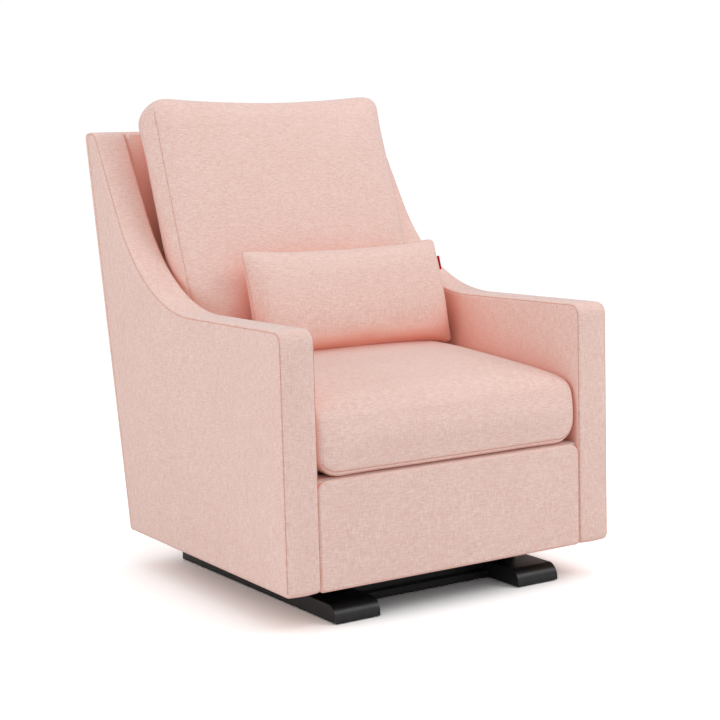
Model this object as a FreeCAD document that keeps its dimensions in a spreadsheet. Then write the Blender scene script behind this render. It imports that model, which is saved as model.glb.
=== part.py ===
import FreeCAD, Part
import math
import os
import re
import Sketcher

# Upholstered glider chair for a nursery. A pedestal of two runners stands on the floor, and the
# upholstered seat hangs from it on four swing links, so it glides to and fro and stays level.
# Frame: origin on the floor below the middle of the chair's box, +Z up, the sitter faces -Y,
# and "left" is the sitter's left, +X. Lengths are in millimetres and angles in degrees.

SIZES = {
    # Overall form
    "overall_width": 750, "overall_depth": 846, "body_clearance": 73, "toe_in": 16,
    "arm_width": 73, "arm_height": 554, "wing_height": 917, "wing_tip_width": 38,
    "wing_slope": 58.7, "rear_lean": 9.8, "back_lean": 18,
    "arm_nose_radius": 22, "arm_sweep_radius": 385, "wing_tip_radius": 28, "wing_heel_radius": 9,
    # Upholstery layers
    "outer_pad": 8, "inner_pad": 10, "boxing_pad": 12, "back_cover": 8, "inside_back_pad": 20,
    "apron_pad": 12, "apron_lip": 10, "soft_gap": 1,
    # Loose cushions
    "cushion_front": 3, "cushion_side_gap": 3, "cushion_deck_gap": 0.4, "cushion_nose_rise": 123,
    "cushion_crown_rise": 167, "cushion_brow": 90, "cushion_round": 22,
    "back_cushion_gap": 1, "back_cushion_thick": 176, "back_cushion_edge": 138,
    "back_cushion_rise": 61, "back_cushion_swell": 0.42, "back_cushion_round": 20,
    "pillow_near_gap": 23, "pillow_far_gap": 111, "pillow_height": 226, "pillow_thick": 106,
    "pillow_set": 60.6, "pillow_upright": 2.5, "tab_width": 9, "tab_height": 30, "tab_thick": 2,
    # Timber frame
    "board_thick": 9, "post_depth": 28, "rail_thick": 25, "side_rail_thick": 37,
    "side_rail_height": 95, "rail_inset": 6, "deck_room": 10, "back_board_thick": 18,
    "top_rail_height": 40, "foot_rail_height": 45, "corner_block": 20, "block_height": 60,
    # Springs, webbing and linings
    "spring_wire": 3.8, "spring_margin": 111, "spring_swing": 22, "spring_loops": 9,
    "clip_length": 20, "clip_depth": 12, "clip_height": 7.6, "deck_pad": 9,
    "web_width": 50, "web_thick": 2, "web_start": 96, "web_top_room": 75, "lining_thick": 1,
    # Pedestal
    "foot_overhang": 9, "foot_width": 98, "foot_setback": 24, "foot_rear_setback": 44.3,
    "foot_height": 34, "foot_base": 2, "foot_nose_radius": 26, "foot_heel_radius": 10,
    "glide_pad_length": 46, "glide_pad_width": 60, "glide_pad_inset": 14,
    "cross_rail_depth": 50, "cross_rail_height": 14, "cross_rail_setback": 101,
    "stretcher_thick": 18, "stretcher_drop": 5, "stretcher_step": 20,
    "upright_thick": 22, "upright_crown": 24, "upright_margin": 30,
    "upright_front_room": 115, "upright_rear_room": 68.2,
    "bracket_leg": 36, "bracket_thick": 4, "bracket_gap": 60, "bracket_inset": 30,
    # Glide linkage
    "link_length": 130, "link_width": 28, "link_thick": 6, "carrier_rise": 19,
    "pivot_radius": 5, "bush_wall": 3,
    "running_gap": 0.05, "side_gap": 0.2, "spacer": 6, "spacer_wall": 5, "bolt_head": 4.5,
    "bolt_head_radius": 9, "nut_height": 7, "carrier_thick": 5, "carrier_height": 36,
    "carrier_margin": 32, "stud_cap": 3,
    # Screws
    "screw_radius": 3, "screw_length": 26, "screw_head": 3, "screw_head_radius": 6,
}

doc = FreeCAD.newDocument("glider_chair")
sheet = doc.addObject("Spreadsheet::Sheet", "Sizes")
for row, (alias, number) in enumerate(SIZES.items(), start=1):
    sheet.set("A%d" % row, alias)
    sheet.set("B%d" % row, str(number))
    sheet.setAlias("B%d" % row, alias)
doc.recompute()

NODES = []
SIDES = (("left", 1), ("right", -1))


def sized(formula):
    """Turn the bare size names in a formula into references to the sheet."""
    return re.sub(r"[a-z_]+", lambda name: "Sizes." + name[0] if name[0] in SIZES else name[0], formula)


def value(formula):
    """The number that a formula of size names gives now."""
    result = sheet.evalExpression(sized(formula))
    return float(getattr(result, "Value", result))


# Formulas that several pieces share. Depths run back from the front plane of the arms, and
# heights are above the floor unless a name says otherwise.
FRONT = "(-overall_depth/2)"
FRAME_INSIDE = "(overall_width/2-arm_width+inner_pad)"
ARM_FACE = "(overall_width/2-arm_width)"
TOE_ANGLE = "atan(toe_in/overall_depth)"
ARM_RISE = "(arm_height-body_clearance)"
WING_RISE = "(wing_height-body_clearance)"
WING_FRONT = "(overall_depth-back_cover-wing_tip_width)"
BEND = "(%s-(wing_height-arm_height)/tan(wing_slope))" % WING_FRONT
RAIL_BASE = "(body_clearance+rail_inset)"
LOWER_PIVOT = "(%s+carrier_rise)" % RAIL_BASE
PIVOT_HEIGHT = "(%s+link_length)" % LOWER_PIVOT
UPRIGHT_TOP = "(%s+upright_crown)" % PIVOT_HEIGHT
DECK_LINE = "(%s+deck_room)" % UPRIGHT_TOP
DECK_RISE = "(%s-body_clearance)" % DECK_LINE
CUSHION_BASE = "(%s+clip_height+deck_pad+cushion_deck_gap)" % DECK_LINE
CUSHION_TOP = "(%s+cushion_crown_rise)" % CUSHION_BASE
CARRIER_X = "(%s-side_rail_thick-carrier_thick)" % FRAME_INSIDE
LINK_X = "(%s-spacer-link_thick)" % CARRIER_X
UPRIGHT_X = "(%s-spacer-upright_thick)" % LINK_X
FOOT_INNER = "(%s+upright_thick+foot_overhang-foot_width)" % UPRIGHT_X


def inside_back(height):
    """Depth of the inside back's face at a height."""
    return "(%s-(wing_height-%s)*tan(back_lean))" % (WING_FRONT, height)


def behind_pad(height):
    """Depth of the plane behind the inside back's pad and webbing at a height."""
    return "(%s+(inside_back_pad+web_thick)/cos(back_lean))" % inside_back(height)


def rear_face(height):
    """Depth of the frame's rear plane, under the outside back's cover, at a height."""
    return "(overall_depth-back_cover-(wing_height-%s)*tan(rear_lean))" % height


FRONT_RAIL = "apron_pad"
REAR_RAIL = "(%s+inside_back_pad/cos(back_lean))" % inside_back(DECK_LINE)
UPRIGHT_FRONT = "(%s+rail_thick+upright_front_room)" % FRONT_RAIL
UPRIGHT_REAR = "(%s-upright_rear_room)" % REAR_RAIL
UPRIGHT_LENGTH = "(%s-%s)" % (UPRIGHT_REAR, UPRIGHT_FRONT)
FRONT_PIVOT = "(%s+upright_margin)" % UPRIGHT_FRONT
REAR_PIVOT = "(%s-upright_margin)" % UPRIGHT_REAR
PIVOT_SPREAD = "(%s-%s)" % (REAR_PIVOT, FRONT_PIVOT)
PIVOTS = (("front", FRONT_PIVOT), ("rear", REAR_PIVOT))
FOOT_LENGTH = "(%s+back_cover-foot_rear_setback-foot_setback)" % rear_face("body_clearance")


def narrowed(half_width, depth):
    """A half width at the front plane, brought in at a depth by as much as the arms are there."""
    return "(%s-toe_in*(%s)/overall_depth)" % (half_width, depth)


BACK_HALF = narrowed(ARM_FACE, "overall_depth")


def keep(piece, name):
    """Give a finished piece its name and list it for export."""
    piece.Label = name
    NODES.append(piece)
    return piece


def bind(piece, **formulas):
    """Bind properties of a piece to formulas of size names."""
    for prop, formula in formulas.items():
        piece.setExpression(prop, sized(formula))


def move(piece, x, y, z):
    """Place a piece at a point: across, back from the front plane, and above the floor."""
    for axis, formula in (("x", x), ("y", FRONT + "+" + y), ("z", z)):
        piece.setExpression("Placement.Base." + axis, sized(formula))
    return piece


def tilt(piece, angle):
    """Lean a piece back about its own X axis."""
    piece.Placement = FreeCAD.Placement(FreeCAD.Vector(), FreeCAD.Rotation(FreeCAD.Vector(-1, 0, 0), 1))
    piece.setExpression("Placement.Rotation.Angle", sized(angle))
    return piece


def side_x(sign, inner, thick):
    """Where a piece starts across: at its inner face on the left, mirrored on the right."""
    return inner if sign > 0 else "(-%s-%s)" % (inner, thick)


def toed(piece, sign, inner, thick, depth, height):
    """Place a layer of an arm, turned in with the arm about its outer front corner."""
    corner = ("" if sign > 0 else "-") + "overall_width/2"
    across = "(%s-%s)" % (side_x(sign, inner, thick), corner)
    way = "" if sign > 0 else "-"
    piece.Placement = FreeCAD.Placement(FreeCAD.Vector(), FreeCAD.Rotation(FreeCAD.Vector(0, 0, sign), 1))
    piece.setExpression("Placement.Rotation.Angle", sized(TOE_ANGLE))
    x = "%s+%s*cos(%s)-(%s%s)*sin(%s)" % (corner, across, TOE_ANGLE, way, depth, TOE_ANGLE)
    y = "(%s%s+arm_width)*sin(%s)+%s*cos(%s)" % (way, across, TOE_ANGLE, depth, TOE_ANGLE)
    return move(piece, x, y, height)


def box(name, place, length, width, height):
    piece = doc.addObject("Part::Box", name)
    bind(piece, Length=length, Width=width, Height=height)
    return move(piece, *place)


def rod(name, place, radius, length, axis="x"):
    """A cylinder that runs along +X or +Z from a point."""
    piece = doc.addObject("Part::Cylinder", name)
    if axis == "x":
        piece.Placement = FreeCAD.Placement(FreeCAD.Vector(), FreeCAD.Rotation(FreeCAD.Vector(0, 1, 0), 90))
    bind(piece, Radius=radius, Height=length)
    return move(piece, *place)


def fuse(name, pieces):
    joined = doc.addObject("Part::MultiFuse", name)
    joined.Shapes = pieces
    return joined


def cut(name, base, tools):
    piece = doc.addObject("Part::Cut", name)
    piece.Base = base
    piece.Tool = tools[0] if len(tools) == 1 else fuse(name + "_tools", tools)
    return piece


def group(name, pieces):
    """Separate solids that share one node."""
    piece = doc.addObject("Part::Compound", name)
    piece.Links = pieces
    return keep(piece, name)


def outline_sketch(body, name, corners, role):
    """A closed outline of straight edges on an origin plane, its corners bound to formulas."""
    sketch = body.newObject("Sketcher::SketchObject", name)
    plane = next(item for item in body.Origin.OriginFeatures if item.Role == role)
    sketch.AttachmentSupport = [(plane, "")]
    sketch.MapMode = "FlatFace"
    points = [FreeCAD.Vector(value(across), value(up), 0) for across, up in corners]
    for start, end in zip(points, points[1:] + points[:1]):
        sketch.addGeometry(Part.LineSegment(start, end), False)
    for index, (across, up) in enumerate(corners):
        following = (index + 1) % len(corners)
        sketch.addConstraint(Sketcher.Constraint("Coincident", index, 2, following, 1))
        for formula, kind, axis in ((across, "DistanceX", -2), (up, "DistanceY", -1)):
            if formula == "0":
                sketch.addConstraint(Sketcher.Constraint("PointOnObject", index, 1, axis))
                continue
            rule = sketch.addConstraint(Sketcher.Constraint(kind, -1, 1, index, 1, value(formula)))
            sketch.renameConstraint(rule, "%s%d" % (kind, index))
            sketch.setExpression("Constraints.%s%d" % (kind, index), sized(formula))
    return sketch


def corner_edge(feature, corner):
    """The edge of a pad that stands on a corner of its side outline."""
    for number, edge in enumerate(feature.Shape.Edges, start=1):
        ends = [(vertex.Point.y, vertex.Point.z) for vertex in edge.Vertexes]
        if len(ends) == 2 and all(math.dist(end, corner) < 0.01 for end in ends):
            return "Edge%d" % number
    raise ValueError("no edge at a corner of " + feature.Label)


def profile(name, corners, thickness, rounds=(), role="YZ_Plane"):
    """A piece cut to a side outline of (depth, height) corners, some of them rounded."""
    body = doc.addObject("PartDesign::Body", name)
    sketch = outline_sketch(body, name + "_outline", corners, role)
    last = body.newObject("PartDesign::Pad", name + "_pad")
    last.Profile = sketch
    bind(last, Length=thickness)
    doc.recompute()
    for index, radius in rounds:
        corner = (value(corners[index][0]), value(corners[index][1]))
        edge = corner_edge(last, corner)
        fillet = body.newObject("PartDesign::Fillet", "%s_round%d" % (name, index))
        fillet.Base = (last, [edge])
        bind(fillet, Radius=radius)
        doc.recompute()
        last = fillet
    body.Tip = last
    return body


def tapered(name, half_width, front, rear, base, height):
    """A level slab between the arms, from one depth to another, that narrows as the arms do."""
    near = narrowed(half_width, front)
    far = narrowed(half_width, rear)
    corners = [("0", front), ("2*" + near, front), ("%s+%s" % (near, far), rear),
               ("%s-%s" % (near, far), rear)]
    return move(profile(name, corners, height, role="XY_Plane"), "-" + near, "0", base)


def screw(name, place, way, axis="x"):
    """A wood screw whose head stands on the surface at a point and whose shank runs the given way."""
    x, y, z = place
    head = "-screw_head" if way > 0 else ""
    shank = "" if way > 0 else "-screw_length"
    if axis == "x":
        starts = ((x + head, y, z), (x + shank, y, z))
    else:
        starts = ((x, y, z + head), (x, y, z + shank))
    return fuse(name, [rod(name + "_head", starts[0], "screw_head_radius", "screw_head", axis),
                       rod(name + "_shank", starts[1], "screw_radius", "screw_length", axis)])


# ---------------------------------------------------------------- Arms
def arm_rear(height):
    """Depth of an arm's rear edge at a height. Toeing the arm in swings its outer corner back."""
    return "(%s-arm_width*sin(%s))" % (rear_face(height), TOE_ANGLE)


def arm_outline(inset):
    """Side outline of an arm and its wing, drawn in by an inset at the front and the top."""
    shift = "%s*tan(wing_slope/2)" % inset
    return [(inset, "0"),
            (inset, "%s-%s" % (ARM_RISE, inset)),
            ("%s+%s" % (BEND, shift), "%s-%s" % (ARM_RISE, inset)),
            ("%s+%s" % (WING_FRONT, shift), "%s-%s" % (WING_RISE, inset)),
            ("%s-%s*tan(rear_lean)" % (arm_rear("wing_height"), inset), "%s-%s" % (WING_RISE, inset)),
            (arm_rear("body_clearance"), "0")]


SKIN_ROUNDS = ((1, "arm_nose_radius"), (2, "arm_sweep_radius"), (3, "wing_tip_radius"),
               (4, "wing_heel_radius"))
CORE_ROUNDS = ((1, "arm_nose_radius-boxing_pad"), (2, "arm_sweep_radius+boxing_pad"),
               (3, "wing_tip_radius-boxing_pad"))


def arm(side, sign):
    skin = arm_outline("0")
    core = arm_outline("boxing_pad")
    layers = (("outer_pad", "(overall_width/2-outer_pad)", "outer_pad", skin, SKIN_ROUNDS),
              ("outer_board", "(overall_width/2-outer_pad-board_thick)", "board_thick", core, CORE_ROUNDS),
              ("inner_board", FRAME_INSIDE, "board_thick", core, CORE_ROUNDS))
    for layer, inner, thick, outline, rounds in layers:
        name = "arm_%s_%s" % (layer, side)
        piece = keep(profile(name, outline, thick, rounds), name)
        toed(piece, sign, inner, thick, "0", "body_clearance")

    # The boxing is the strip of padding that closes the arm along its front, top and wing.
    ring = skin[:5] + [core[index] for index in (4, 3, 2, 1, 0)]
    rounds = SKIN_ROUNDS + ((6, CORE_ROUNDS[2][1]), (7, CORE_ROUNDS[1][1]), (8, CORE_ROUNDS[0][1]))
    span = "(arm_width-outer_pad-inner_pad)"
    boxing = keep(profile("arm_boxing_" + side, ring, span, rounds), "arm_boxing_" + side)
    toed(boxing, sign, FRAME_INSIDE, span, "0", "body_clearance")

    # The inner pad stops just above the deck line, where the seat frame meets the arm's board.
    foot = "(%s+soft_gap)" % DECK_RISE
    inner = skin[1:5] + [(arm_rear("(%s+soft_gap)" % DECK_LINE), foot), ("0", foot)]
    rounds = tuple((index - 1, radius) for index, radius in SKIN_ROUNDS)
    lining = keep(profile("arm_inner_pad_" + side, inner, "inner_pad", rounds), "arm_inner_pad_" + side)
    toed(lining, sign, ARM_FACE, "inner_pad", "0", "body_clearance")

    hollow = "(arm_width-outer_pad-inner_pad-2*board_thick)"
    post = doc.addObject("Part::Box", "arm_front_post_" + side)
    bind(post, Length=hollow, Width="post_depth", Height="%s-boxing_pad-arm_nose_radius" % ARM_RISE)
    inner = "(%s+board_thick)" % FRAME_INSIDE
    toed(keep(post, "arm_front_post_" + side), sign, inner, hollow, "boxing_pad", "body_clearance")


# ---------------------------------------------------------------- Seat frame
def seat_frame():
    # The side rails' inner faces are square to the front for the linkage, and their outer faces
    # follow the arms.
    start = FRONT_RAIL + "+rail_thick"
    inner = "(%s-side_rail_thick)" % FRAME_INSIDE
    near = "(%s-%s)" % (narrowed(FRAME_INSIDE, start), inner)
    far = "(%s-%s)" % (narrowed(FRAME_INSIDE, REAR_RAIL), inner)
    plans = {"left": [("0", start), (near, start), (far, REAR_RAIL), ("0", REAR_RAIL)],
             "right": [("0", start), (near, start), (near, REAR_RAIL), ("%s-%s" % (near, far), REAR_RAIL)]}
    for side, sign in SIDES:
        name = "seat_rail_" + side
        rail = keep(profile(name, plans[side], "side_rail_height", role="XY_Plane"), name)
        move(rail, side_x(sign, inner, near), "0", RAIL_BASE)
    for name, depth in (("seat_rail_front", FRONT_RAIL), ("seat_rail_rear", REAR_RAIL)):
        half = narrowed(FRAME_INSIDE, depth + "+rail_thick")
        keep(box(name, ("-" + half, depth, RAIL_BASE), "2*" + half, "rail_thick",
                 "%s-%s" % (DECK_LINE, RAIL_BASE)), name)
    blocks = []
    corner = "(%s-side_rail_thick-corner_block)" % FRAME_INSIDE
    for side, sign in SIDES:
        for end, depth in (("front", FRONT_RAIL + "+rail_thick"), ("rear", REAR_RAIL + "-corner_block")):
            name = "corner_block_%s_%s" % (end, side)
            place = (side_x(sign, corner, "corner_block"), depth, RAIL_BASE + "+rail_inset")
            blocks.append(box(name, place, "corner_block", "corner_block", "block_height"))
    group("corner_blocks", blocks)

    # The lining closes the underside between the slots that the pedestal's uprights move in.
    lining_half = "(%s-spacer)" % UPRIGHT_X
    place = ("-" + lining_half, FRONT_RAIL, RAIL_BASE + "-lining_thick")
    keep(box("dust_cover", place, "2*" + lining_half, "%s+rail_thick-%s" % (REAR_RAIL, FRONT_RAIL),
             "lining_thick"), "dust_cover")


def springs():
    """Sinuous springs from the front rail to the rear rail, each end held in a clip."""
    spring_pitch = "(%s-spring_margin)/2" % ARM_FACE
    wire = value("spring_wire") / 2
    swing = value("spring_swing")
    height = value(DECK_LINE + "+clip_height/2")
    start = value(FRONT + "+apron_pad+rail_thick/2")
    end = value("%s+%s+rail_thick/2" % (FRONT, REAR_RAIL))
    loops = int(value("spring_loops"))
    pitch = (end - start) / loops
    turn = pitch / 2
    solids = []
    clips = []
    for number in range(-2, 3):
        middle = number * value(spring_pitch)
        edges = []
        side = 1
        x_from = middle - swing
        for loop in range(loops + 1):
            depth = start + loop * pitch
            x_to = middle + side * swing
            edges.append(Part.LineSegment(FreeCAD.Vector(x_from, depth, height),
                                          FreeCAD.Vector(x_to, depth, height)).toShape())
            if loop < loops:
                peak = FreeCAD.Vector(x_to + side * turn, depth + turn, height)
                edges.append(Part.Arc(FreeCAD.Vector(x_to, depth, height), peak,
                                      FreeCAD.Vector(x_to, depth + pitch, height)).toShape())
            x_from = x_to
            side = -side
        path = Part.Wire(edges)
        section = Part.Wire(Part.Circle(FreeCAD.Vector(middle - swing, start, height),
                                        FreeCAD.Vector(1, 0, 0), wire).toShape())
        solids.append(path.makePipeShell([section], True, False))
        for end_name, depth in (("front", "apron_pad+rail_thick/2"), ("rear", REAR_RAIL + "+rail_thick/2")):
            name = "clip_%s_%d" % (end_name, number + 3)
            across = "%d*%s" % (number, spring_pitch)
            block = box(name + "_block", (across + "-clip_length/2", depth + "-clip_depth/2", DECK_LINE),
                        "clip_length", "clip_depth", "clip_height")
            hole = rod(name + "_hole", (across + "-clip_length", depth, DECK_LINE + "+clip_height/2"),
                       "spring_wire/2+running_gap", "2*clip_length")
            clips.append(cut(name, block, [hole]))
    piece = doc.addObject("Part::Feature", "seat_springs")
    piece.Shape = Part.makeCompound(solids)
    piece.Placement = FreeCAD.Placement()
    keep(piece, "seat_springs")
    group("spring_clips", clips)


def seat_padding():
    rear = inside_back("(%s+clip_height)" % DECK_LINE) + "-soft_gap"
    deck = tapered("seat_deck", ARM_FACE, "apron_pad+soft_gap", rear,
                   DECK_LINE + "+clip_height+soft_gap", "deck_pad-soft_gap")
    keep(deck, "seat_deck")
    rise = "%s+apron_lip" % DECK_RISE
    apron = [("0", "0"), ("0", rise), ("apron_pad", rise), ("apron_pad", "0")]
    half = narrowed(ARM_FACE, "apron_pad")
    pad = profile("apron_pad_front", apron, "2*" + half, ((1, "apron_pad-soft_gap"),))
    move(keep(pad, "apron_pad_front"), "-" + half, "0", "body_clearance")


# ---------------------------------------------------------------- Back
def back():
    high = "(wing_height-boxing_pad)"
    step = "(%s-%s)" % (REAR_RAIL + "+rail_thick", behind_pad(DECK_LINE))
    crook = "(%s+%s/tan(back_lean))" % (DECK_RISE, step)
    foot = "(%s-body_clearance)" % RAIL_BASE
    behind_rail = REAR_RAIL + "+rail_thick"
    corners = [(behind_rail, foot), (behind_rail, crook), (behind_pad(high), WING_RISE + "-boxing_pad"),
               (rear_face(high), WING_RISE + "-boxing_pad"), (rear_face(RAIL_BASE), foot)]
    for side, sign in SIDES:
        board = keep(profile("back_side_" + side, corners, "back_board_thick"), "back_side_" + side)
        move(board, side_x(sign, "(%s-back_board_thick)" % BACK_HALF, "back_board_thick"), "0",
             "body_clearance")
    inner_width = "2*(%s-back_board_thick)" % BACK_HALF
    start = "-(%s-back_board_thick)" % BACK_HALF
    low = "(%s-top_rail_height)" % high
    top = [(behind_pad(low), "0"), (behind_pad(high), "top_rail_height"),
           (rear_face(high), "top_rail_height"), (rear_face(low), "0")]
    move(keep(profile("back_top_rail", top, inner_width), "back_top_rail"), start, "0", low)
    bottom_top = "(%s+foot_rail_height)" % RAIL_BASE
    rail_front = rear_face(RAIL_BASE) + "-rail_thick"
    bottom = [(rail_front, "0"), (rail_front, "foot_rail_height"),
              (rear_face(bottom_top), "foot_rail_height"), (rear_face(RAIL_BASE), "0")]
    move(keep(profile("back_foot_rail", bottom, inner_width), "back_foot_rail"), start, "0", RAIL_BASE)

    webs = []
    pad_depth = "+inside_back_pad/cos(back_lean)"
    lowest = "(%s+web_start)" % DECK_LINE
    web_pitch = "(%s-web_top_room-%s)/4" % (low, lowest)
    for number in range(5):
        height = "(%s+%d*%s)" % (lowest, number, web_pitch)
        depth = inside_back(height) + pad_depth
        web = tilt(doc.addObject("Part::Box", "back_web_%d" % (number + 1)), "back_lean")
        bind(web, Length="2*" + BACK_HALF, Width="web_thick", Height="web_width")
        webs.append(move(web, "-" + BACK_HALF, depth, height))
    group("back_webbing", webs)

    pad_foot = "(%s+clip_height+soft_gap)" % DECK_LINE
    pad_rise = "wing_height-" + pad_foot
    pad_outline = [(inside_back(pad_foot), "0"), (inside_back("wing_height"), pad_rise),
                   (inside_back("wing_height") + pad_depth, pad_rise),
                   (inside_back(pad_foot) + pad_depth, "0")]
    pad = keep(profile("inside_back_pad_panel", pad_outline, "2*" + BACK_HALF), "inside_back_pad")
    move(pad, "-" + BACK_HALF, "0", pad_foot)

    cover_outline = [(rear_face("body_clearance"), "0"), (rear_face("wing_height"), WING_RISE),
                     (rear_face("wing_height") + "+back_cover", WING_RISE),
                     (rear_face("body_clearance") + "+back_cover", "0")]
    cover = keep(profile("outside_back", cover_outline, "overall_width-2*toe_in"), "outside_back")
    move(cover, "-(overall_width/2-toe_in)", "0", "body_clearance")


# ---------------------------------------------------------------- Loose cushions
def cushions():
    half = "(%s-cushion_side_gap)" % ARM_FACE
    rise = "cushion_crown_rise"
    nose = "cushion_nose_rise"
    seat = [("cushion_front", "0"), ("cushion_front", nose), ("cushion_brow", "(%s+%s)/2" % (nose, rise)),
            ("2*cushion_brow", rise), (inside_back(CUSHION_TOP) + "-soft_gap", rise),
            (inside_back(CUSHION_BASE) + "-soft_gap", "0")]
    loaf = profile("seat_cushion_loaf", seat, "2*" + half, ((0, "cushion_round"), (1, "cushion_round")))
    move(loaf, "-" + half, "0", CUSHION_BASE)
    plan = tapered("seat_cushion_plan", half, "0", inside_back(CUSHION_TOP), CUSHION_BASE, rise)
    piece = doc.addObject("Part::MultiCommon", "seat_cushion")
    piece.Shapes = [loaf, plan]
    keep(piece, "seat_cushion")

    # The back cushion leans with the inside back and stands on the seat cushion.
    foot = "(%s+soft_gap)" % CUSHION_TOP
    half = "(%s-back_cushion_gap)" % BACK_HALF
    heel = "back_cushion_thick*tan(back_lean)"
    brow = "(back_cushion_thick-back_cushion_edge)"
    crest = "(%s+back_cushion_round/2)*sin(back_lean)" % brow
    length = "((wing_height+back_cushion_rise-%s+%s)/cos(back_lean))" % (foot, crest)
    back_outline = [("0", "0"), ("0", length + "*back_cushion_swell"), (brow, length),
                    ("back_cushion_thick", length), ("back_cushion_thick", heel)]
    piece = profile("back_cushion", back_outline, "2*" + half,
                    ((2, "back_cushion_round"), (3, "back_cushion_round/2")))
    tilt(keep(piece, "back_cushion"), "back_lean")
    front = "(%s-soft_gap-back_cushion_thick/cos(back_lean))" % inside_back(foot)
    move(piece, "-" + half, front, foot)

    # The pillow is a knife-edged lens that rests on the seat and leans on the back cushion.
    quarter = "pillow_height/4"
    half_thick = "pillow_thick/2"
    pillow_lean = "(back_lean-pillow_upright)"
    pillow_width = "(2*%s-pillow_near_gap-pillow_far_gap)" % ARM_FACE
    pillow_end = "(%s-pillow_near_gap)" % ARM_FACE
    seam_foot = "(%s-pillow_set)" % front
    pillow_outline = [(half_thick, "0"), ("0", quarter), ("0", "3*" + quarter), (half_thick, "pillow_height"),
                      ("pillow_thick", "3*" + quarter), ("pillow_thick", quarter)]
    pillow = tilt(keep(profile("lumbar_pillow", pillow_outline, pillow_width), "lumbar_pillow"),
                  pillow_lean)
    pillow_front = "%s-pillow_thick/2*cos(%s)" % (seam_foot, pillow_lean)
    pillow_base = "%s+pillow_thick/2*sin(%s)" % (foot, pillow_lean)
    move(pillow, "%s-%s" % (pillow_end, pillow_width), pillow_front, pillow_base)
    tab = tilt(doc.addObject("Part::Box", "pillow_tab"), pillow_lean)
    bind(tab, Length="tab_width", Width="tab_thick", Height="tab_height")
    along = "pillow_height*0.72"
    keep(tab, "pillow_tab")
    move(tab, pillow_end, "%s+%s*sin(%s)" % (seam_foot, along, pillow_lean),
         "%s+%s*cos(%s)" % (foot, along, pillow_lean))


# ---------------------------------------------------------------- Pedestal
def pedestal():
    foot_rise = "(foot_height-foot_base)"
    foot_outline = [("0", "0"), ("0", foot_rise), (FOOT_LENGTH, foot_rise), (FOOT_LENGTH, "0")]
    bracket_length = "(%s-2*bracket_inset-bracket_gap)/2" % UPRIGHT_LENGTH
    bracket_starts = ("(%s+bracket_inset)" % UPRIGHT_FRONT,
                      "(%s-bracket_inset-%s)" % (UPRIGHT_REAR, bracket_length))
    rounds = ((1, "foot_nose_radius"), (2, "foot_heel_radius"))
    pads = []
    brackets = []
    fixings = []
    for side, sign in SIDES:
        foot = keep(profile("foot_" + side, foot_outline, "foot_width", rounds), "foot_" + side)
        move(foot, side_x(sign, FOOT_INNER, "foot_width"), "foot_setback", "foot_base")
        pad_x = side_x(sign, "(%s+foot_width/2-glide_pad_width/2)" % FOOT_INNER, "glide_pad_width")
        ends = ("foot_setback+glide_pad_inset",
                "foot_setback+%s-glide_pad_inset-glide_pad_length" % FOOT_LENGTH)
        for number, depth in enumerate(ends, start=1):
            pads.append(box("glide_pad_%s_%d" % (side, number), (pad_x, depth, "0"), "glide_pad_width",
                            "glide_pad_length", "foot_base"))

        panel = box("upright_panel_" + side, (side_x(sign, UPRIGHT_X, "upright_thick"), UPRIGHT_FRONT,
                    "foot_height"), "upright_thick", UPRIGHT_LENGTH, UPRIGHT_TOP + "-foot_height")
        bores = [rod("upright_bore_%s_%s" % (end, side), ("-overall_width/2", depth, PIVOT_HEIGHT),
                     "pivot_radius+running_gap", "overall_width") for end, depth in PIVOTS]
        keep(cut("upright_" + side, panel, bores), "upright_" + side)

        leg_x = side_x(sign, "(%s-bracket_leg)" % UPRIGHT_X, "bracket_leg")
        wall_x = side_x(sign, "(%s-bracket_thick)" % UPRIGHT_X, "bracket_thick")
        for number, depth in enumerate(bracket_starts, start=1):
            name = "bracket_%s_%d" % (side, number)
            leg = box(name + "_leg", (leg_x, depth, "foot_height"), "bracket_leg", bracket_length,
                      "bracket_thick")
            wall = box(name + "_wall", (wall_x, depth, "foot_height"), "bracket_thick", bracket_length,
                       "bracket_leg")
            middle = "(%s+%s/2)" % (depth, bracket_length)
            reach = "(%s-bracket_leg/2)" % UPRIGHT_X
            down = (reach if sign > 0 else "-" + reach, middle, "foot_height+bracket_thick")
            face = "(%s-bracket_thick)" % UPRIGHT_X
            across = (face if sign > 0 else "-" + face, middle, "foot_height+bracket_leg*0.65")
            holes = [rod(name + "_hole_down", (down[0], middle, "0"), "screw_radius", UPRIGHT_TOP, "z"),
                     rod(name + "_hole_across", ("-overall_width/2", middle, across[2]), "screw_radius",
                         "overall_width")]
            brackets.append(cut(name, fuse(name + "_angle", [leg, wall]), holes))
            fixings.append(screw(name + "_screw_down", down, -1, "z"))
            fixings.append(screw(name + "_screw_across", across, sign, "x"))
    return pads, brackets, fixings


def cross_members():
    """The rails and stretchers that tie the two feet together."""
    rail_front = "(foot_setback+cross_rail_setback)"
    rail_rear = "(foot_setback+%s-cross_rail_setback-cross_rail_depth)" % FOOT_LENGTH
    stretcher_rear = "(%s+cross_rail_depth-stretcher_step-stretcher_thick)" % rail_rear
    stretcher_base = "(foot_base+cross_rail_height)"
    rise = "%s-stretcher_drop-%s" % (RAIL_BASE, stretcher_base)
    for end, rail_depth, stretcher_depth in (("front", rail_front, rail_front + "+stretcher_step"),
                                             ("rear", rail_rear, stretcher_rear)):
        rail = box("cross_rail_" + end, ("-" + FOOT_INNER, rail_depth, "foot_base"), "2*" + FOOT_INNER,
                   "cross_rail_depth", "cross_rail_height")
        keep(rail, rail.Name)
        stretcher = box("stretcher_" + end, ("-" + FOOT_INNER, stretcher_depth, stretcher_base),
                        "2*" + FOOT_INNER, "stretcher_thick", rise)
        keep(stretcher, stretcher.Name)


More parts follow.
